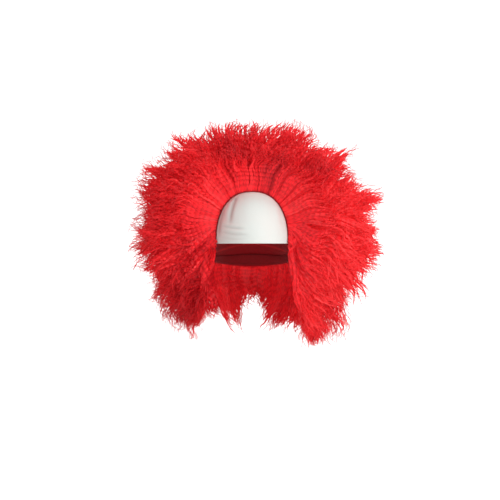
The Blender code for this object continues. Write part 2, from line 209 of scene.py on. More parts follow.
# A sheet of cloth: a grid whose points go where place() puts them. place() also gives what the materials
# read: the point's spot on the flat cloth, in metres, with the edge's share as third value, and a share of
# the shade colour from 0 to 1, which is painted shade in the panel's folds, the stitching thread on the cap
# and darker edges on the elastic.
def clothPiece(name, look, place):
    deselectAll()
    bpy.ops.mesh.primitive_grid_add(x_subdivisions=look["columns"], y_subdivisions=look["rows"], size=1)
    piece = bpy.context.object
    piece.name = name
    piece.data.name = name
    spots = np.empty(len(piece.data.vertices) * 3, np.float32)
    piece.data.vertices.foreach_get("co", spots)
    spots = spots.reshape(-1, 3).astype(float) + 0.5
    points, flat, shade = place(spots[:, 0], spots[:, 1])
    piece.data.vertices.foreach_set("co", points.astype(np.float32).ravel())
    cloth = piece.data.attributes.new("flatCloth", "FLOAT_VECTOR", "POINT")
    cloth.data.foreach_set("vector", flat.astype(np.float32).ravel())
    hollow = piece.data.attributes.new("shade", "FLOAT", "POINT")
    hollow.data.foreach_set("value", shade.astype(np.float32))
    piece.data.update()
    middle = piece.data.polygons[len(piece.data.polygons) // 2]
    pickOnly(piece)
    if middle.normal.dot(middle.center - Vector(headMiddle)) < 0:
        bpy.ops.object.mode_set(mode="EDIT")
        bpy.ops.mesh.select_all(action="SELECT")
        bpy.ops.mesh.flip_normals()
        bpy.ops.object.mode_set(mode="OBJECT")
    wall = piece.modifiers.new("wall", "SOLIDIFY")
    wall.thickness = look["wall"]
    wall.offset = 1.0                 # outwards from the head
    bpy.ops.object.modifier_apply(modifier=wall.name)
    edge = piece.modifiers.new("roundedEdge", "BEVEL")
    edge.width = look["round"]
    edge.segments = 2
    edge.limit_method = "ANGLE"
    edge.angle_limit = math.radians(60)
    bpy.ops.object.modifier_apply(modifier=edge.name)
    bpy.ops.object.shade_smooth_by_angle(angle=math.radians(50))
    return piece


# White front panel. Folds run from one point to another, metres across and up from the brow's middle, and
# have a width, a height and how much painted shade darkens their hollow. They fade in and out over shares
# of their length. Near the arch the side parts get a cool tint, painted to cancel the red light that the hair
# throws on them.
panel = {"columns": 96, "rows": 72, "wall": layers["panel"], "round": 0.0003, "margin": 0.009,
         "pastArch": 1.12, "marginStretch": 16, "browDrop": 0.0020, "browDropFade": 0.02,
         "hemWidth": 0.0050, "hemHeight": 0.0005, "hemStep": 0.0006,
         "rimShare": 0.965, "rimEnd": 1.01, "rimBlur": 0.02, "rimHeight": 0.0005,
         "calmEdge": 0.06, "sidesFrom": 0.42, "sidesOver": 0.5, "foldSag": 0.05, "fadeIn": (0.15, 0.3),
         "fadeOut": (1.15, 0.45),
         "folds": [(-0.0310, 0.0800, -0.0425, 0.0400, 0.0110, 0.0024, 0.0),
                   (-0.0262, 0.0800, -0.0372, 0.0325, 0.0064, -0.0014, 0.92),
                   (-0.0498, 0.0560, -0.0566, 0.0120, 0.0068, -0.0008, 0.75),
                   (-0.0510, 0.0330, -0.0110, 0.0268, 0.0060, 0.0011, 0.0),
                   (-0.0500, 0.0292, -0.0120, 0.0236, 0.0046, -0.0006, 0.26),
                   (-0.0520, 0.0225, -0.0060, 0.0175, 0.0060, 0.0011, 0.0),
                   (-0.0510, 0.0190, -0.0080, 0.0140, 0.0044, -0.0006, 0.24),
                   (-0.0500, 0.0100, -0.0120, 0.0072, 0.0036, -0.0004, 0.14),
                   (0.0400, 0.0660, 0.0470, 0.0400, 0.0090, 0.0010, 0.0),
                   (0.0480, 0.0560, 0.0530, 0.0260, 0.0060, -0.0005, 0.12)]}


def panelRelief(across, up):
    height = np.zeros_like(across)
    shade = np.zeros_like(across)
    for fromX, fromUp, toX, toUp, width, tall, dark in panel["folds"]:
        runX = toX - fromX
        runUp = toUp - fromUp
        length = math.hypot(runX, runUp)
        share = ((across - fromX) * runX + (up - fromUp) * runUp) / length ** 2
        sag = length * panel["foldSag"] * np.sin(np.pi * np.clip(share, 0, 1))
        off = ((across - fromX) * runUp - (up - fromUp) * runX) / length - sag
        ends = smooth((share + panel["fadeIn"][0]) / panel["fadeIn"][1])
        ends = ends * smooth((panel["fadeOut"][0] - share) / panel["fadeOut"][1])
        profile = np.exp(-(off / (width / 2)) ** 2) * ends
        height += tall * profile
        shade += dark * profile
    out = (np.abs(across / front["halfWidth"]) ** front["power"]
           + np.abs(up / front["height"]) ** front["power"]) ** (1 / front["power"])
    height *= smooth((1.0 - out) / panel["calmEdge"])
    height += panel["hemHeight"] * smooth((panel["hemWidth"] - up) / panel["hemStep"])
    # the edge along the arch is raised a little and carries a painted reflection of the red hair
    rimPaintedReflection = smooth((out - panel["rimShare"]) / panel["rimBlur"])
    rimPaintedReflection = rimPaintedReflection * smooth((panel["rimEnd"] - out) / panel["rimBlur"])
    # a cool tint painted on the side parts, against the red light that the hair throws on them
    sidesPaintedCool = smooth((out - panel["sidesFrom"]) / panel["sidesOver"])
    shade = np.clip(shade, 0, 1) * smooth((1.02 - out) / 0.03)
    return height + panel["rimHeight"] * rimPaintedReflection, shade, np.maximum(rimPaintedReflection, sidesPaintedCool * 0.5)


def panelPlace(shareX, shareY):
    x = shareX * 2 - 1
    y = shareY
    reach = np.maximum(np.abs(x), y) * panel["pastArch"]      # 1 on the arch, more in the margin
    power = front["power"]
    turn = np.maximum((np.abs(x) ** power + y ** power) ** (1 / power), 1e-9)
    inside = np.minimum(reach, 1.0) / turn
    across = x * inside * front["halfWidth"]
    up = y * inside * front["height"]
    height, shade, edge = panelRelief(across, up)
    up = up - panel["browDrop"] * (1 - smooth(up / panel["browDropFade"]))
    direction = panelDirection(across, up)
    inner = panelDirection(across * 0.97, up * 0.97)            # the margin runs on from it
    step = np.arccos(np.clip((direction * inner).sum(-1), -1, 1))
    past = np.maximum(reach - 1, 0) / (panel["pastArch"] - 1) * panel["margin"]
    angle = past / (head["length"] + head["width"]) * 4
    beyond = slide(inner, direction, 1 + angle / np.maximum(step, 1e-6))
    direction = np.where((reach > 1)[:, None], beyond, direction)
    stretch = 1 + past * panel["marginStretch"]
    flat = np.stack([across * stretch, up * stretch, edge], axis=-1)
    return overHead(direction, height), flat, shade


# Stretch cap: the wefts are sewn to it along rows, which show inside as ribs with stitches.
cap = {"columns": 100, "rows": 132, "wall": layers["cap"], "round": 0.0004, "tracks": 11,
       "trackHeight": 0.0005, "trackWidth": 0.0022, "trackSharpness": 1.6, "flatLength": 0.30}


def capPlace(along, back):
    length = capLength(along)
    toTrack = np.abs((back * cap["tracks"]) % 1 - 0.5) / cap["tracks"] * length
    track = np.exp(-(toTrack / cap["trackWidth"] * cap["trackSharpness"]) ** 2)
    flat = np.stack([(along - 0.5) * cap["flatLength"], back * length, np.zeros_like(back)], axis=-1)
    return overHead(capDirection(along, back), capLift + cap["trackHeight"] * track), flat, track


# Elastic in the hem
band = {"columns": 160, "rows": 6, "wall": layers["band"], "round": 0.0003, "width": 0.014, "inset": 0.0015,
        "flatLength": 0.42, "edgePower": 6}


def hemPlace(along, share):
    back = 1 - (band["inset"] + band["width"] * share) / capLength(along)
    across = (along - 0.5) * band["flatLength"]
    flat = np.stack([across, band["width"] * share, np.zeros_like(along)], axis=-1)
    edge = np.abs(share * 2 - 1) ** band["edgePower"]
    return overHead(capDirection(along, back), np.zeros_like(along)), flat, edge


def makeCloth(name, look, place, node):
    piece = clothPiece(name, look, place)
    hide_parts(node)
    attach(piece, "root")
    faces = [face.area for face in piece.data.polygons]
    print(name, "done, area of one side:", round(sum(faces) / 2, 5))
    return piece


# Hair: rows of locks as in the solids. A lock is a crimped core, darker in tone as painted shade of the
# lock's inside, ribbons of crimped fibre round it, and loose frizz at its end.
hair = {"rowsInAll": 11, "columns": 30, "napeRow": 9, "rootMargin": -0.0006, "roundShare": 0.40,
        "crimpShade": 0.55}
seeds = {"waves": 5, "locks": 100, "wefts": 31}
fullTurn = 6.28                   # of the phases drawn by chance
# Strands, with lengths in metres and the rest as shares. A strand has the same waves as its neighbours up to
# evenShare, and its own length after that. It is drawn in towards its lock's tip by gather, and strays by
# spread.
# the core's lower tone is painted shade of the inside of the lock
core = {"count": 1, "segments": 12, "width": 0.017, "depth": 0.30, "crimp": 0.0016, "start": 0.0,
        "ease": 0.82, "reach": (0.78, 0.84), "gather": 0.55, "gatherPower": 1.6, "spread": 0.0, "curl": 0.002,
        "wobble": 0.0, "turns": 10.0, "roll": 0.15, "tone": -0.10, "toneSpread": 0.04, "taper": 0.75,
        "evenShare": 0.6}
ribbons = {"count": 20, "segments": 18, "width": 0.0050, "depth": 0.12, "crimp": 0.0021, "start": 0.0,
           "ease": 0.82, "reach": (0.84, 1.05), "gather": 0.60, "gatherPower": 4.0, "spread": 0.24,
           "curl": 0.0065, "wobble": 0.0034, "turns": 10.0, "roll": 0.26, "tone": 0.0, "toneSpread": 0.10,
           "taper": 0.84, "evenShare": 0.7}
frizz = {"count": 13, "segments": 10, "width": 0.0012, "depth": 0.8, "crimp": 0.0018, "start": 0.62,
         "ease": 1.0, "reach": (0.93, 1.13), "gather": 0.60, "gatherPower": 3.0, "spread": 0.34,
         "curl": 0.0080, "wobble": 0.0060, "turns": 19.0, "roll": 1.6, "tone": 0.03, "toneSpread": 0.10,
         "taper": 0.50, "evenShare": 0.5}
# What the strands of a lock share, and how far locks and rows differ
locks = {"edgeCrowding": 1.6, "tipShift": 0.9, "shorter": 0.12, "reachPower": 0.7, "sway": 0.28,
         "swayTurns": 4.4, "fieldScale": 0.30, "bandDrift": 0.030, "curlDrift": 2.2, "bendEnd": 1.1,
         "bendPower": 1.7, "napeGather": 0.4, "napeFuller": 1.35, "thickness": 1.4, "taperPower": 2.2,
         "rowTone": 0.08, "tone": 0.16, "toneAtPanel": 0.08, "rowsAtPanel": 2}
# Parting above the arch, in columns and shares of the arch's length
parting = {"rows": 2, "shift": 0.30, "width": 0.030, "at": 0.487}
# Over the crown the ends are more even, a little shorter and less gathered.
overCrown = {"width": 0.17, "rows": 7, "even": 0.65, "evenLocks": 0.8, "shorter": 0.045, "looser": 0.6}
# Hair beside the face, whose length and drift are given for the wearer's right and left side
beside = {"share": 0.15, "blend": 1.4, "length": (0.135, 0.172), "drift": (0.045, 0.052), "driftPower": 3,
          "driftAtFace": 0.5, "driftFurther": 8, "out": 0.010, "outRate": 5, "straight": 0.35,
          "waves": (95, 14), "wavesAside": 0.35, "wavesLength": 0.08}
# Seen from the front the ends stand in tufts: their number round the head, how far they pull together and
# reach, and how they lean with the depth. Angles are radians from +X over the crown. The waves have a size, a
# number round the head and a phase, and make the tufts uneven in width and in strength.
tufts = {"number": 34, "pull": 0.80, "dip": 0.042, "lean": 22.0, "from": 0.60, "over": 0.45,
         "widthWaves": [(1.9, 3, 1.0), (1.6, 5, 2.2)], "strength": 0.7,
         "strengthWaves": [(0.3, 4, 0.5), (0.2, 11, 0.0)], "crownAt": 1.63, "crownWidth": 0.45,
         "crownLess": 0.78, "napeSine": 0.90, "napeOver": 0.3}
# Over the crown the ends lie to the two sides, least at the back.
sweep = {"angle": 0.10, "from": 1.53, "width": 0.7, "soft": 0.40, "wayFrom": 0.5, "wayOver": 0.6,
         "behind": 0.09, "behindOver": 0.08}
# Painted light and shade on the hair, seen from the front: darker in dips and partings where shade falls,
# lighter where more light falls. Metres across and up from the middle of the head, half width, half height,
# change of tone
paintedLightZones = [(-0.031, 0.150, 0.026, 0.022, -0.42), (0.036, 0.120, 0.013, 0.026, -0.46),
         (-0.100, -0.042, 0.035, 0.052, -0.44), (-0.064, 0.004, 0.009, 0.032, 0.08),
         (-0.110, -0.115, 0.060, 0.050, -0.34), (0.150, 0.000, 0.090, 0.110, 0.16),
         (-0.080, 0.075, 0.040, 0.028, 0.10), (0.120, 0.120, 0.040, 0.030, -0.20),
         (0.090, -0.090, 0.060, 0.070, 0.16), (-0.165, 0.060, 0.040, 0.060, -0.16),
         (-0.120, 0.120, 0.060, 0.022, -0.14), (0.076, -0.020, 0.014, 0.070, -0.16),
         (0.090, 0.112, 0.016, 0.026, -0.32), (0.036, 0.170, 0.024, 0.028, 0.22)]
paintedLightZonesEnd = {"depth": 0.10, "over": 0.06}          # they fade out behind the middle of the head
# The crimp is softer at the roots, and on the wearer's left, where its bands blur too.
crimping = {"atRoot": 0.42, "further": 0.78, "over": 0.6, "leftLess": 0.45, "leftFrom": -0.03,
            "leftOver": 0.10, "blurOver": 0.08, "blur": 0.02, "leftBlur": 0.09}
proud = 0.0095                    # how far the longest ends may stand out of the solids' box
# node, piece, first row, reach of each row's tips, share of the strands
wefts = [("hairline_weft", "hairlineHair", 0, (0.86, 0.96), 1.0),
         ("crown_weft", "crownHair", 2, (1.00, 0.98), 1.0),
         ("upper_weft", "upperHair", 4, (1.00, 0.97), 1.0),
         ("middle_weft", "middleHair", 6, (1.00, 0.98, 1.00), 0.70),
         ("nape_weft", "napeHair", 9, (0.97, 1.00), 1.0)]


def meshFromArrays(name, points, quads, triangles, places, faceNormals):
    mesh = bpy.data.meshes.new(name)
    mesh.vertices.add(len(points))
    mesh.vertices.foreach_set("co", points.astype(np.float32).ravel())
    corners = np.concatenate([quads.ravel(), triangles.ravel()])
    mesh.loops.add(len(corners))
    mesh.loops.foreach_set("vertex_index", corners.astype(np.int32))
    starts = np.concatenate([np.arange(len(quads)) * 4, len(quads) * 4 + np.arange(len(triangles)) * 3])
    mesh.polygons.add(len(starts))
    mesh.polygons.foreach_set("loop_start", starts.astype(np.int32))
    mesh.update(calc_edges=True)
    layer = mesh.uv_layers.new(name="OFBake")
    layer.uv.foreach_set("vector", places[corners].astype(np.float32).ravel())
    mesh.normals_split_custom_set(faceNormals)
    return mesh


# Strands with three sides and a point. centre is (strands, rings, 3), flat and deep are the ring's half axes,
# outward is the soft normal of the side that shows, and tone and way are the strand's place on the map.
def strandArrays(centre, flat, deep, outward, tone, way):
    count, rings = centre.shape[:2]
    line = centre[:, :-1]
    ring = np.stack([line - flat[:, :-1], line + flat[:, :-1], line + deep[:, :-1]], axis=2)
    rings -= 1
    points = np.concatenate([ring.reshape(count, -1, 3), centre[:, -1:]], axis=1)
    size = rings * 3 + 1
    base = (np.arange(count) * size)[:, None, None]
    row = np.arange(rings - 1)[None, :, None] * 3
    side = np.arange(3)[None, None, :]
    other = (side + 1) % 3
    quads = np.stack([row + side, row + other, row + 3 + other, row + 3 + side], axis=-1) + base[..., None]
    last = base[:, 0] + (rings - 1) * 3
    point = np.broadcast_to(base[:, 0] + size - 1, (count, 3))
    tips = np.stack([last + side[0], last + other[0], point], axis=-1)
    roots = np.stack([base[:, 0, 0] + 2, base[:, 0, 0] + 1, base[:, 0, 0]], axis=-1)
    places = np.empty((count, size, 2))
    shift = np.array([-1.0, 0.0, 1.0]) * hairLook["mapWidth"]
    places[:, :-1, 0] = tone[:, None] + np.tile(shift, rings)[None]
    places[:, :-1, 1] = np.repeat(way[:, :-1], 3, axis=1)
    places[:, 1, 1] += hairLook["rootNudge"]
    places[:, -1, 0] = tone
    places[:, -1, 1] = way[:, -1]
    # the crimp shows in the shading, a little less than it would
    step = unit(np.cross(flat[:, :-1], centre[:, 1:] - centre[:, :-1])) * hair["crimpShade"]
    before = unit(outward[:, :-1] * (1 - hair["crimpShade"]) + step)
    after = unit(outward[:, 1:] * (1 - hair["crimpShade"]) + step)
    inner = unit(deep[:, :-1])
    before = np.stack([before, inner, inner], axis=2)                 # strands, segments, sides
    after = np.stack([after, inner, inner], axis=2)
    quadNormals = np.stack([before, before, after, after], axis=3)[:, :-1]
    tipNormals = np.stack([before[:, -1], before[:, -1], after[:, -1]], axis=2)
    rootNormals = np.repeat(unit(centre[:, :1] - centre[:, 1:2]), 3, axis=1)
    triangleNormals = np.concatenate([tipNormals.reshape(-1, 3), rootNormals.reshape(-1, 3)])
    return (points.reshape(-1, 3), quads.reshape(-1, 4), np.concatenate([tips.reshape(-1, 3), roots]),
            places.reshape(-1, 2), quadNormals.reshape(-1, 3), triangleNormals)


def edgeBack(along, row):   # share of the way back of a row's edge
    margin = hair["rootMargin"] / capLength(along)
    return margin + row / hair["rowsInAll"] * (1 - 2 * margin)


waves = np.random.default_rng(seeds["waves"]).normal(0, 1, (6, 3))


def slowNoise(x, y, shift=0.0):   # smooth and about -1 to 1
    total = np.zeros(np.broadcast(x, y).shape)
    for a, b, turn in waves:
        total = total + np.sin(a * x + b * y + turn * 9 + shift)
    return total / 3.0


# Hair beside the face hangs straight down from the edge of the cap.
def besideFace(along, back, way, centre):
    near = np.minimum(along, 1 - along)
    weight = smooth((beside["share"] - near) / beside["share"] * beside["blend"])[..., None]
    root = hairPoint(along, back, np.zeros_like(way))
    outward = unit(root - headMiddle)
    side = np.where(along < 0.5, -1.0, 1.0)
    hang = root + outward * (beside["out"] * (1 - np.exp(-beside["outRate"] * way)))[..., None]
    apart = np.sin(beside["waves"][0] * along + beside["waves"][1] * back)      # neighbouring locks part
    drift = side * np.where(along < 0.5, *beside["drift"]) * way ** beside["driftPower"]
    drift = drift * (beside["driftAtFace"] + beside["driftFurther"] * near)
    fall = np.where(along < 0.5, *beside["length"]) * way
    fall = fall * (beside["straight"] + (1 - beside["straight"]) * way ** 0.5)
    hang[..., 0] += drift * (1 + beside["wavesAside"] * apart)
    hang[..., 2] -= fall * (1 - beside["wavesLength"] * apart)
    return centre + (hang - centre) * weight * smooth(way * 6)[..., None]


def intoTufts(centre, way):
    spot = centre - headMiddle
    across = spot[..., 0]
    up = spot @ upward
    depth = spot @ inward
    angle = np.arctan2(up, across)
    turn = tufts["number"] * angle
    for size, number, phase in tufts["widthWaves"]:
        turn = turn + size * np.sin(number * angle + phase)
    turn = turn + tufts["lean"] * depth
    strength = tufts["strength"]
    for size, number, phase in tufts["strengthWaves"]:
        strength = strength + size * np.sin(number * angle + phase)
    weight = smooth((way - tufts["from"]) / tufts["over"]) * strength
    crown = np.exp(-((angle - tufts["crownAt"]) / tufts["crownWidth"]) ** 2)
    weight = weight * (1 - tufts["crownLess"] * crown)
    weight = weight * smooth((np.sin(angle) + tufts["napeSine"]) / tufts["napeOver"])   # none under the nape
    angle = angle - weight * tufts["pull"] / tufts["number"] * np.sin(turn)
    fromCrown = angle - sweep["from"]
    swept = sweep["angle"] * smooth((way - sweep["wayFrom"]) / sweep["wayOver"])
    swept = swept * smooth((sweep["behind"] - depth) / sweep["behindOver"])
    angle = angle + swept * np.exp(-(fromCrown / sweep["width"]) ** 2) * np.tanh(fromCrown / sweep["soft"])
    radius = np.hypot(across, up) * (1 + weight * tufts["dip"] * np.cos(turn))
    rise = radius * np.sin(angle)
    return headMiddle + np.stack([radius * np.cos(angle), rise * upward[1] + depth * inward[1],
                                  rise * upward[2] + depth * inward[2]], axis=-1)


def offHead(centre, thickness):
    away = centre - headMiddle
    radius = np.linalg.norm(away, axis=-1)
    direction = unit(away)
    lift = np.full(radius.shape, rootLift - 2 * layers["sag"] + thickness)
    return np.where((radius < headRadius(direction) + lift)[..., None], overHead(direction, lift), centre)


def insideBox(centre):   # eases the longest ends back towards the solids' box
    low, high = (np.array(corner) for corner in cadBox)
    over = np.maximum(centre - high, 0)
    under = np.maximum(low - centre, 0)
    centre = np.clip(centre, low, high)
    return centre + proud * (1 - np.exp(-over / proud)) - proud * (1 - np.exp(-under / proud))


def paintedZoneTone(centre):
    spot = centre - headMiddle
    up = spot @ upward
    tone = np.zeros(len(spot))
    for across, level, wide, tall, change in paintedLightZones:
        tone += change * np.exp(-((spot[:, 0] - across) / wide) ** 2 - ((up - level) / tall) ** 2)
    return tone * smooth((paintedLightZonesEnd["depth"] - spot @ inward) / paintedLightZonesEnd["over"])


def crimpShare(centre, length):
    left = smooth((centre[..., 0] - crimping["leftFrom"]) / crimping["leftOver"])
    grown = crimping["atRoot"] + crimping["further"] * smooth(length / crimping["over"])
    return grown * (1 - crimping["leftLess"] * left)


# Place along the map: the crimp's bands lie at the same places for all.
def mapPlace(look, rings, way, tip, centre, dice):
    along = rings + 0 * way if look["start"] == 0 else way / (tip * 1.05)
    left = smooth((centre[:, :1, 0] - crimping["leftFrom"]) / crimping["blurOver"])
    blur = (dice.random((len(way), 1)) - 0.5) * (crimping["blur"] + crimping["leftBlur"] * left)
    place = hairLook["mapStart"] + hairLook["mapShare"] * along + blur * smooth(along * 8)
    return np.clip(place, 0.004, 0.994)


# Where the strands have their roots and tips, in columns along the arch and rows back from it
def rootsAndTips(look, row, columns, lock, dice):
    count = len(columns)
    loose = 1.0 if look["spread"] else 0.0
    rootColumn = columns + 0.5 + (dice.random(count) - 0.5) * loose
    rootRow = row + 0.5 + (dice.random(count) - 0.5) * loose
    if row == 0:                      # more of them at the very edge of the panel
        rootRow = rootRow ** locks["edgeCrowding"]
    tipColumn = columns + 0.5 + (lock[:, 0] - 0.5) * locks["tipShift"]
    tipColumn = tipColumn + dice.normal(0, 1, count) * look["spread"]
    tipRow = row + 0.5 + (lock[:, 1] - 0.5) * locks["tipShift"]
    tipRow = tipRow + dice.normal(0, 1, count) * look["spread"]
    return rootColumn, rootRow, tipColumn, tipRow


# How far the strands have come at each of their rings, 0 on the cap and 1 on the outline
def strandWay(look, row, tip, rings, crown, field, lock, dice):
    low, high = look["reach"]
    short = (1 - dice.random(len(lock)) ** locks["reachPower"]) * (1 - overCrown["even"] * crown)
    reach = tip * (1 - locks["shorter"] * (1 - overCrown["evenLocks"] * crown) * lock[:, 2])
    reach = reach * (high - (high - low) * short) * (1 - overCrown["shorter"] * crown)
    even = np.minimum(rings, look["evenShare"]) ** look["ease"] * tip * (high - look["start"])
    late = np.maximum(rings - look["evenShare"], 0) / (1 - look["evenShare"])
    way = look["start"] + even
    way = way + (reach[:, None] - way) * late
    if look["start"] == 0:            # whole strands only, so that the bands of the crimp drift slowly
        way = way + (locks["bandDrift"] * slowNoise(field, row * 0.9))[:, None] * smooth(rings * 4)
    return way


# Their places on the cap at each ring, as shares along the arch and back to the hem
def strandPlaces(look, row, ends, crown, lock, length):
    rootColumn, rootRow, tipColumn, tipRow = ends
    draw = look["gather"] * (1.0 if row < hair["napeRow"] else locks["napeGather"])
    draw = draw * np.clip(length, 0, 1) ** look["gatherPower"] * (1 - overCrown["looser"] * crown)[:, None]
    column = rootColumn[:, None] * (1 - draw) + tipColumn[:, None] * draw
    line = rootRow[:, None] * (1 - draw) + tipRow[:, None] * draw
    sway = locks["sway"] * np.sin(length * locks["swayTurns"] + lock[:, 3:4] * fullTurn)
    along = (column + sway * length ** 2) / hair["columns"]
    if row % 2:                       # every other row lies over the gaps of the next
        along = along + 0.5 / hair["columns"] * smooth(np.minimum(along, 1 - along) * 6)
    if row < parting["rows"]:
        off = along - parting["at"]
        side = np.where(off[:, :1] < 0, -1.0, 1.0)
        away = np.exp(-(off / parting["width"]) ** 2) * parting["shift"] / hair["columns"]
        along = along + side * away * smooth(length * 4)
    along = np.clip(along, 0.002, 0.998)
    return along, edgeBack(along, np.clip(line, 0, hair["rowsInAll"]))


# A lock curls as one, and its strands wobble apart, both more at the ends.
def curled(look, row, centre, flat, normal, length, field, lock, dice):
    bend = np.clip(length, 0, locks["bendEnd"]) ** locks["bendPower"]
    phase = dice.random((len(lock), 2)) * fullTurn
    turnA = (locks["curlDrift"] * slowNoise(field * 1.4, row * 1.3, 1.0) + lock[:, 5])[:, None]
    turnB = (locks["curlDrift"] * slowNoise(field * 1.4, row * 1.3, 4.0) + lock[:, 6])[:, None]
    coil = length * look["turns"]
    aside = look["curl"] * np.sin(coil + turnA) + look["wobble"] * np.sin(0.9 * coil + phase[:, :1])
    outer = look["curl"] * np.sin(coil + turnB) + look["wobble"] * np.sin(0.8 * coil + phase[:, 1:])
    return centre + flat * (bend * aside)[..., None] + normal * (bend * outer)[..., None]


def strandTone(look, row, columns, lock, centre, dice):
    atPanel = row < locks["rowsAtPanel"]          # locks differ less, and read the painted light and shade nearer their roots
    own = locks["toneAtPanel"] if atPanel else locks["tone"]
    tone = 0.5 + look["tone"] + locks["rowTone"] * slowNoise(columns * 0.35, row * 0.6)
    tone = tone + own * (lock[:, 4] - 0.5) + dice.normal(0, 1, len(lock)) * look["toneSpread"]
    ring = look["segments"] * 4 // 10 if atPanel else -look["segments"] // 3
    return np.clip(tone + paintedZoneTone(centre[:, ring]), 0.04, 0.96)


def bunches(look, row, tip, share, dice):
    columns = np.repeat(np.arange(hair["columns"]), max(1, round(look["count"] * share)))
    count = len(columns)
    lock = np.random.default_rng(seeds["locks"] + row).random((hair["columns"], 8))[columns]
    ends = rootsAndTips(look, row, columns, lock, dice)
    crown = np.exp(-(((columns + 0.5) / hair["columns"] - 0.5) / overCrown["width"]) ** 2)
    crown = crown * (row < overCrown["rows"])
    field = ends[0] * locks["fieldScale"]         # neighbours move together, so that the crimp makes bands
    rings = np.linspace(0, 1, look["segments"] + 1)[None]
    way = strandWay(look, row, tip, rings, crown, field, lock, dice)
    length = np.clip(way, 0, None)
    along, back = strandPlaces(look, row, ends, crown, lock, length)
    centre = besideFace(along, back, way, intoTufts(hairPoint(along, back, way), way))
    aside = hairPoint(np.clip(along + 0.004, 0, 1), back, way)
    aside = aside - hairPoint(np.clip(along - 0.004, 0, 1), back, way)
    run = unit(np.gradient(centre, axis=1))
    flat = unit(aside - run * (aside * run).sum(-1, keepdims=True))
    normal = np.cross(run, flat)
    centre = curled(look, row, centre, flat, normal, length, field, lock, dice)
    zigzag = np.where(np.arange(look["segments"] + 1) % 2 == 0, 1.0, -1.0)[None]      # the crimp
    size = look["crimp"] * (0.8 + 0.4 * dice.random(count))[:, None] * smooth(0.12 + rings * 2.2)
    size = size * crimpShare(centre, length)
    roll = (dice.normal(0, 1, count) * look["roll"])[:, None, None]
    turned = flat * np.cos(roll) + normal * np.sin(roll)
    deep = normal * np.cos(roll) - flat * np.sin(roll)
    centre = centre + deep * (zigzag * size)[..., None]
    centre = offHead(centre, look["width"] * look["depth"] * locks["thickness"])
    outward = unit(unit(centre - headMiddle) * hair["roundShare"] - deep)
    fuller = 1.0 if row < hair["napeRow"] else locks["napeFuller"]
    width = fuller * look["width"] * (0.65 + 0.7 * dice.random(count))[:, None] / 2
    width = width * (1 - look["taper"] * rings ** locks["taperPower"])
    tone = strandTone(look, row, columns, lock, centre, dice)
    centre = insideBox(centre)
    return (centre, turned * width[..., None], deep * (width * look["depth"] * 2)[..., None], outward, tone,
            mapPlace(look, rings, way, tip, centre, dice))


def makeHair(node, name, firstRow, tips, share):
    dice = np.random.default_rng(firstRow + seeds["wefts"])
    batches = []
    for look in (core, ribbons, frizz):
        for order, tip in enumerate(tips):
            batches.append(strandArrays(*bunches(look, firstRow + order, tip, share, dice)))
    counts = np.cumsum([0] + [len(batch[0]) for batch in batches])
    points = np.concatenate([batch[0] for batch in batches])
    quads = np.concatenate([batch[1] + counts[order] for order, batch in enumerate(batches)])
    triangles = np.concatenate([batch[2] + counts[order] for order, batch in enumerate(batches)])
    places = np.concatenate([batch[3] for batch in batches])
    normals = np.concatenate([batch[4] for batch in batches] + [batch[5] for batch in batches])
    mesh = meshFromArrays(name, points, quads, triangles, places, normals)
    piece = bpy.data.objects.new(name, mesh)
    bpy.context.scene.collection.objects.link(piece)
    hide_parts(node)
    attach(piece, "root")
    print(name, "triangles:", len(quads) * 2 + len(triangles))
    return piece


# Materials
def newMaterial(name, roughness):
    material = bpy.data.materials.new(name)
    material.use_nodes = True
    shader = material.node_tree.nodes["Principled BSDF"]
    shader.inputs["Roughness"].default_value = roughness
    return material, material.node_tree.nodes, material.node_tree.links, shader


def mapRange(nodes, links, value, low, high, toLow=0.0, toHigh=1.0):
    node = nodes.new("ShaderNodeMapRange")
    for name, number in (("From Min", low), ("From Max", high), ("To Min", toLow), ("To Max", toHigh)):
        node.inputs[name].default_value = number
    links.new(value, node.inputs["Value"])
    return node.outputs["Result"]


def mixColour(nodes, links, blend, first, second):
    mix = nodes.new("ShaderNodeMix")
    mix.data_type = "RGBA"
    mix.blend_type = blend
    for name, value in (("A", first), ("B", second)):
        if isinstance(value, tuple):
            mix.inputs[name].default_value = value
        else:
            links.new(value, mix.inputs[name])
    return mix


# The map of the hair holds the tone in X and the place along the strand in Y.
hairLook = {"mapWidth": 0.012, "mapStart": 0.06, "mapShare": 0.84, "rootNudge": 0.004,
            "dark": (0.46, 0.005, 0.010), "middle": (0.84, 0.016, 0.023), "bright": (0.99, 0.055, 0.058),
            "roughness": 0.5, "specular": 0.22, "streaks": (420.0, 7.0, 1.0), "streakRange": (0.25, 0.75),
            "streakDepth": 0.34, "paintedBandShade": 0.13, "paintedCrestLight": 0.6, "bandFade": (0.60, 0.85),
            "paintedGlow": 0.14}


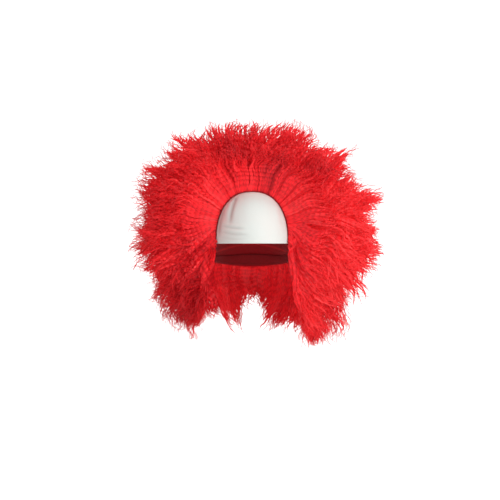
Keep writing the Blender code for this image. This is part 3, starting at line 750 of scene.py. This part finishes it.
def hairMaterial():
    material, nodes, links, shader = newMaterial("crimpedRedHair", hairLook["roughness"])
    shader.inputs["Specular IOR Level"].default_value = hairLook["specular"]
    place = nodes.new("ShaderNodeUVMap")
    place.uv_map = "OFBake"
    parts = nodes.new("ShaderNodeSeparateXYZ")
    links.new(place.outputs["UV"], parts.inputs["Vector"])
    tone = nodes.new("ShaderNodeValToRGB")
    tone.color_ramp.elements[0].color = (*hairLook["dark"], 1)
    tone.color_ramp.elements[1].color = (*hairLook["bright"], 1)
    middle = tone.color_ramp.elements.new(0.5)
    middle.color = (*hairLook["middle"], 1)
    links.new(parts.outputs["X"], tone.inputs["Fac"])
    stretch = nodes.new("ShaderNodeMapping")
    stretch.inputs["Scale"].default_value = hairLook["streaks"]
    links.new(place.outputs["UV"], stretch.inputs["Vector"])
    streak = nodes.new("ShaderNodeTexNoise")
    streak.noise_dimensions = "2D"
    streak.inputs["Scale"].default_value = 1.0
    streak.inputs["Detail"].default_value = 2.0
    links.new(stretch.outputs["Vector"], streak.inputs["Vector"])
    depth = mapRange(nodes, links, streak.outputs["Fac"], *hairLook["streakRange"],
                     1 - hairLook["streakDepth"], 1 + hairLook["streakDepth"])
    strands = mixColour(nodes, links, "MULTIPLY", tone.outputs["Color"], depth)
    strands.inputs["Factor"].default_value = 1.0
    # painted shade in the hollows of the crimp and painted light on its crests, as far as the loose ends
    phase = nodes.new("ShaderNodeMath")
    phase.operation = "MULTIPLY_ADD"
    start, share = hairLook["mapStart"], hairLook["mapShare"]
    phase.inputs[1].default_value = ribbons["segments"] * math.pi / share
    phase.inputs[2].default_value = -start * ribbons["segments"] * math.pi / share
    links.new(parts.outputs["Y"], phase.inputs[0])
    wave = nodes.new("ShaderNodeMath")
    wave.operation = "COSINE"
    links.new(phase.outputs[0], wave.inputs[0])
    hollow = mapRange(nodes, links, wave.outputs[0], -1.0, 1.0,
                      1 + hairLook["paintedBandShade"] * hairLook["paintedCrestLight"], 1 - hairLook["paintedBandShade"])
    fade = mapRange(nodes, links, parts.outputs["Y"], *hairLook["bandFade"], 1.0, 0.0)
    paintedBands = mixColour(nodes, links, "MULTIPLY", strands.outputs["Result"], hollow)
    links.new(fade, paintedBands.inputs["Factor"])
    links.new(paintedBands.outputs["Result"], shader.inputs["Base Color"])
    links.new(paintedBands.outputs["Result"], shader.inputs["Emission Color"])    # painted glow: the hair gives off its own colour, which brightens it and its dark pits
    shader.inputs["Emission Strength"].default_value = hairLook["paintedGlow"]
    return material


# Knitted cloth: wales across and courses up the flat cloth, each loop a small V.
knit = {"loopDepth": 0.6, "cloudScale": 55.0, "cloudDetail": 3.0, "cloudRange": (0.35, 0.75)}


def knitGroup():
    group = bpy.data.node_groups.new("knitLoops", "ShaderNodeTree")
    group.interface.new_socket(name="Flat", in_out="INPUT", socket_type="NodeSocketVector")
    for name in ("Wales", "Courses", "Slant"):
        group.interface.new_socket(name=name, in_out="INPUT", socket_type="NodeSocketFloat")
    for name in ("Height", "Mottle"):
        group.interface.new_socket(name=name, in_out="OUTPUT", socket_type="NodeSocketFloat")
    nodes = group.nodes
    links = group.links
    enter = nodes.new("NodeGroupInput")
    leave = nodes.new("NodeGroupOutput")

    def mathNode(kind, first, second=None):
        node = nodes.new("ShaderNodeMath")
        node.operation = kind
        for index, value in enumerate((first, second)):
            if isinstance(value, (int, float)):
                node.inputs[index].default_value = value
            elif value is not None:
                links.new(value, node.inputs[index])
        return node.outputs[0]

    parts = nodes.new("ShaderNodeSeparateXYZ")
    links.new(enter.outputs["Flat"], parts.inputs["Vector"])
    wale = mathNode("FRACT", mathNode("MULTIPLY", parts.outputs["X"], enter.outputs["Wales"]))
    side = mathNode("ABSOLUTE", mathNode("SUBTRACT", wale, 0.5))
    side = mathNode("MULTIPLY", side, 2.0)            # 0 in the middle of a wale
    rib = mathNode("SQRT", mathNode("SUBTRACT", 1.0, mathNode("MULTIPLY", side, side)))
    course = mathNode("MULTIPLY", parts.outputs["Y"], enter.outputs["Courses"])
    course = mathNode("ADD", course, mathNode("MULTIPLY", side, enter.outputs["Slant"]))
    loop = mathNode("ABSOLUTE", mathNode("SINE", mathNode("MULTIPLY", course, math.pi)))
    loop = mathNode("ADD", mathNode("MULTIPLY", loop, knit["loopDepth"]), 1 - knit["loopDepth"])
    links.new(mathNode("MULTIPLY", rib, loop), leave.inputs["Height"])
    cloud = nodes.new("ShaderNodeTexNoise")
    cloud.inputs["Scale"].default_value = knit["cloudScale"]
    cloud.inputs["Detail"].default_value = knit["cloudDetail"]
    links.new(enter.outputs["Flat"], cloud.inputs["Vector"])
    links.new(cloud.outputs["Fac"], leave.inputs["Mottle"])
    return group


def clothMaterial(name, look):
    material, nodes, links, shader = newMaterial(name, look["roughness"])
    shader.inputs["Specular IOR Level"].default_value = look["specular"]
    shader.inputs["Sheen Weight"].default_value = look["sheen"]
    shader.inputs["Sheen Roughness"].default_value = 0.5
    flat = nodes.new("ShaderNodeAttribute")
    flat.attribute_name = "flatCloth"
    shade = nodes.new("ShaderNodeAttribute")
    shade.attribute_name = "shade"
    loops = nodes.new("ShaderNodeGroup")
    loops.node_tree = knitLoops
    links.new(flat.outputs["Vector"], loops.inputs["Flat"])
    for socket in ("Wales", "Courses", "Slant"):
        loops.inputs[socket].default_value = look[socket.lower()]
    # painted shade: the knit is darker in the hollows between its loops
    hollow = mixColour(nodes, links, "MIX", look["hollow"], look["colour"])
    links.new(loops.outputs["Height"], hollow.inputs["Factor"])
    mottled = mixColour(nodes, links, "MIX", hollow.outputs["Result"], look["mottle"])
    soft = mapRange(nodes, links, loops.outputs["Mottle"], *knit["cloudRange"], 0.0, look["mottling"])
    links.new(soft, mottled.inputs["Factor"])
    # the shade colour: painted shade in the panel's folds, the stitching thread on the cap, darker towards
    # the edges on the elastic
    colour = mixColour(nodes, links, "MIX", mottled.outputs["Result"], look["shade"])
    links.new(shade.outputs["Fac"], colour.inputs["Factor"])
    if "rimPaintedReflection" in look:                 # third value of the flat cloth: 0 to 0.5 the side parts' painted cool tint, 0.5 to 1 the painted reflection along the arch
        parts = nodes.new("ShaderNodeSeparateXYZ")
        links.new(flat.outputs["Vector"], parts.inputs["Vector"])
        for blend, tint, low, high in (("MULTIPLY", "sidesPaintedCool", 0.0, 0.5), ("MIX", "rimPaintedReflection", 0.5, 1.0)):
            colour = mixColour(nodes, links, blend, colour.outputs["Result"], look[tint])
            links.new(mapRange(nodes, links, parts.outputs["Z"], low, high), colour.inputs["Factor"])
    links.new(colour.outputs["Result"], shader.inputs["Base Color"])
    bump = nodes.new("ShaderNodeBump")
    bump.inputs["Strength"].default_value = look["bump"]
    bump.inputs["Distance"].default_value = look["loopHeight"]
    links.new(loops.outputs["Height"], bump.inputs["Height"])
    links.new(bump.outputs["Normal"], shader.inputs["Normal"])
    return material


# hollow is painted shade between the knit's loops
whiteLook = {"colour": (0.76, 0.785, 0.745, 1), "hollow": (0.67, 0.69, 0.655, 1),
             "mottle": (0.73, 0.765, 0.735, 1), "mottling": 0.5, "shade": (0.46, 0.37, 0.35, 1),
             # the pink along the arch is a painted reflection of the red hair, and the side parts' tint is
             # painted against that light
             "rimPaintedReflection": (0.86, 0.72, 0.68, 1), "sidesPaintedCool": (0.96, 1.08, 1.08, 1), "roughness": 0.62, "specular": 0.3,
             "sheen": 0.12, "wales": 1100.0, "courses": 900.0, "slant": 0.5, "bump": 0.35,
             "loopHeight": 0.0003}
knitLook = {"colour": (0.46, 0.012, 0.018, 1), "hollow": (0.20, 0.004, 0.008, 1),
            "mottle": (0.38, 0.008, 0.014, 1), "mottling": 0.6, "shade": (0.60, 0.020, 0.026, 1),
            "roughness": 0.8, "specular": 0.2, "sheen": 0.2, "wales": 620.0, "courses": 520.0, "slant": 0.5,
            "bump": 0.6, "loopHeight": 0.0006}
elasticLook = {"colour": (0.36, 0.010, 0.015, 1), "hollow": (0.15, 0.003, 0.006, 1),
               "mottle": (0.30, 0.008, 0.012, 1), "mottling": 0.4, "shade": (0.20, 0.005, 0.008, 1),
               "roughness": 0.7, "specular": 0.25, "sheen": 0.1, "wales": 420.0, "courses": 900.0,
               "slant": 0.0, "bump": 0.8, "loopHeight": 0.0006}


def wear(piece, material):
    piece.data.materials.clear()
    piece.data.materials.append(material)


knitLoops = knitGroup()
frontPanel = makeCloth("frontPanel", panel, panelPlace, "forehead_panel")
wear(frontPanel, clothMaterial("whiteStretch", whiteLook))
stretchCap = makeCloth("stretchCap", cap, capPlace, "base_cap")
wear(stretchCap, clothMaterial("redKnit", knitLook))
hemElastic = makeCloth("hemElastic", band, hemPlace, "edge_elastic")
wear(hemElastic, clothMaterial("redElastic", elasticLook))
redHair = hairMaterial()
for node, name, firstRow, tips, share in wefts:
    wear(makeHair(node, name, firstRow, tips, share), redHair)

# Studio: pale floor, soft lights, camera at the photograph's angle
studio = {"elevation": 20.0, "distance": 2.3, "frameWidth": 0.900, "aimRight": 0.0036, "aimUp": 0.0144,
          "sensor": 36, "floor": -0.42, "floorSize": 12, "floorGrey": 0.80, "floorGlow": 0.50, "world": 0.80,
          "seenWorld": 1.02, "lightsAim": (0, 0, -0.1),
          "lights": [("keyLight", (1.7, -1.3, 0.9), 1.1, 24), ("topLight", (0.3, 0.4, 1.8), 1.4, 9)]}


def aimAt(thing, target):
    thing.rotation_mode = "QUATERNION"
    thing.rotation_quaternion = (Vector(target) - thing.location).to_track_quat("-Z", "Y")


def softLight(name, place, size, power):
    deselectAll()
    bpy.ops.object.light_add(type="AREA", location=place)
    lamp = bpy.context.object
    lamp.name = name
    lamp.data.shape = "DISK"
    lamp.data.size = size
    lamp.data.energy = power
    aimAt(lamp, studio["lightsAim"])


def makeFloor():
    deselectAll()
    bpy.ops.mesh.primitive_plane_add(size=studio["floorSize"], location=(0, 0, studio["floor"]))
    floor = bpy.context.object
    floor.name = "studioFloor"
    paleFloor, nodes, links, shader = newMaterial("paleFloor", 0.9)
    shader.inputs["Base Color"].default_value = (*[studio["floorGrey"]] * 3, 1)
    shader.inputs["Emission Color"].default_value = (1, 1, 1, 1)
    seen = nodes.new("ShaderNodeLightPath")
    glow = nodes.new("ShaderNodeMath")
    glow.operation = "MULTIPLY"
    glow.inputs[1].default_value = studio["floorGlow"]
    links.new(seen.outputs["Is Camera Ray"], glow.inputs[0])
    links.new(glow.outputs[0], shader.inputs["Emission Strength"])
    wear(floor, paleFloor)


def makeAir():
    world = bpy.data.worlds.new("studioAir")
    bpy.context.scene.world = world
    world.use_nodes = True
    air = world.node_tree.nodes["Background"]
    air.inputs["Color"].default_value = (1, 1, 1, 1)
    seen = world.node_tree.nodes.new("ShaderNodeLightPath")
    strength = mapRange(world.node_tree.nodes, world.node_tree.links, seen.outputs["Is Camera Ray"], 0.0, 1.0,
                        studio["world"], studio["seenWorld"])
    world.node_tree.links.new(strength, air.inputs["Strength"])
    bpy.context.scene.view_settings.view_transform = "Standard"


def makeCamera():
    eye = math.radians(studio["elevation"])
    back = Vector((0, -math.cos(eye), math.sin(eye)))
    rise = Vector((0, math.sin(eye), math.cos(eye)))
    aim = Vector(headMiddle) - Vector((studio["aimRight"], 0, 0)) - rise * studio["aimUp"]
    bpy.ops.object.camera_add(location=aim + back * studio["distance"])
    camera = bpy.context.object
    camera.name = "frontCamera"
    aimAt(camera, aim)
    camera.data.sensor_width = studio["sensor"]
    camera.data.lens = studio["sensor"] * studio["distance"] / studio["frameWidth"]
    bpy.context.scene.camera = camera


makeFloor()
for lamp in studio["lights"]:
    softLight(*lamp)
makeAir()
makeCamera()
print("studio done")
